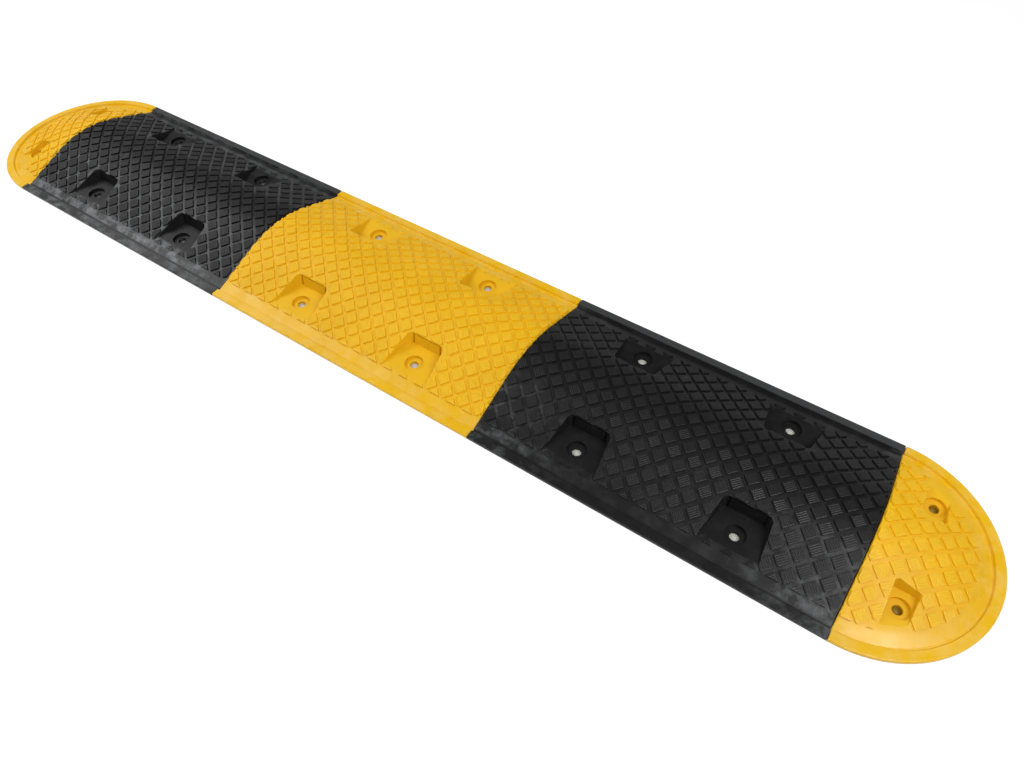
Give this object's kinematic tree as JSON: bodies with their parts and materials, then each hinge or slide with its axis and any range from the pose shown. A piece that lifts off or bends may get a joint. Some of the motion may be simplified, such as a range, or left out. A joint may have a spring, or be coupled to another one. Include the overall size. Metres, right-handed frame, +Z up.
{
  "type": "speed ramp",
  "caption": "Low bolt-down rubber speed ramp: straight sections and half-round end caps in a row, with a raised diamond tread and fixing holes in pockets.",
  "frame": {"origin": "on the road surface, at the middle of the ramp's length and width", "axes": "+X along the row of sections, +Y across it, +Z up"},
  "size_m": [1.8132, 0.31, 0.0405],
  "materials": {
    "yellow_rubber": "satin",
    "black_rubber": "satin",
    "steel": "satin"
  },
  "bodies": {
    "middle_section": {"middle_yellow_section": "yellow_rubber", "middle_section_washer_front_left": "steel", "middle_section_washer_front_right": "steel", "middle_section_washer_rear_left": "steel", "middle_section_washer_rear_right": "steel", "left_section_dowel_front": "steel", "left_section_dowel_rear": "steel", "right_section_dowel_front": "steel", "right_section_dowel_rear": "steel"},
    "left_section": {"left_black_section": "black_rubber", "left_section_washer_front_left": "steel", "left_section_washer_front_right": "steel", "left_section_washer_rear_left": "steel", "left_section_washer_rear_right": "steel", "left_cap_dowel_front": "steel", "left_cap_dowel_rear": "steel"},
    "left_cap": {"left_end_cap": "yellow_rubber", "left_cap_washer_front": "steel", "left_cap_washer_rear": "steel"},
    "right_section": {"right_black_section": "black_rubber", "right_section_washer_front_left": "steel", "right_section_washer_front_right": "steel", "right_section_washer_rear_left": "steel", "right_section_washer_rear_right": "steel", "right_cap_dowel_front": "steel", "right_cap_dowel_rear": "steel"},
    "right_cap": {"right_end_cap": "yellow_rubber", "right_cap_washer_front": "steel", "right_cap_washer_rear": "steel"}
  },
  "joints": [
    {"name": "left_section_pull", "type": "slide", "parent": "middle_section", "child": "left_section", "axis": [-1, 0, 0], "range_m": [0, 0.03]},
    {"name": "right_section_pull", "type": "slide", "parent": "middle_section", "child": "right_section", "axis": [1, 0, 0], "range_m": [0, 0.03]},
    {"name": "left_cap_pull", "type": "slide", "parent": "left_section", "child": "left_cap", "axis": [-1, 0, 0], "range_m": [0, 0.03]},
    {"name": "right_cap_pull", "type": "slide", "parent": "right_section", "child": "right_cap", "axis": [1, 0, 0], "range_m": [0, 0.03]}
  ]
}
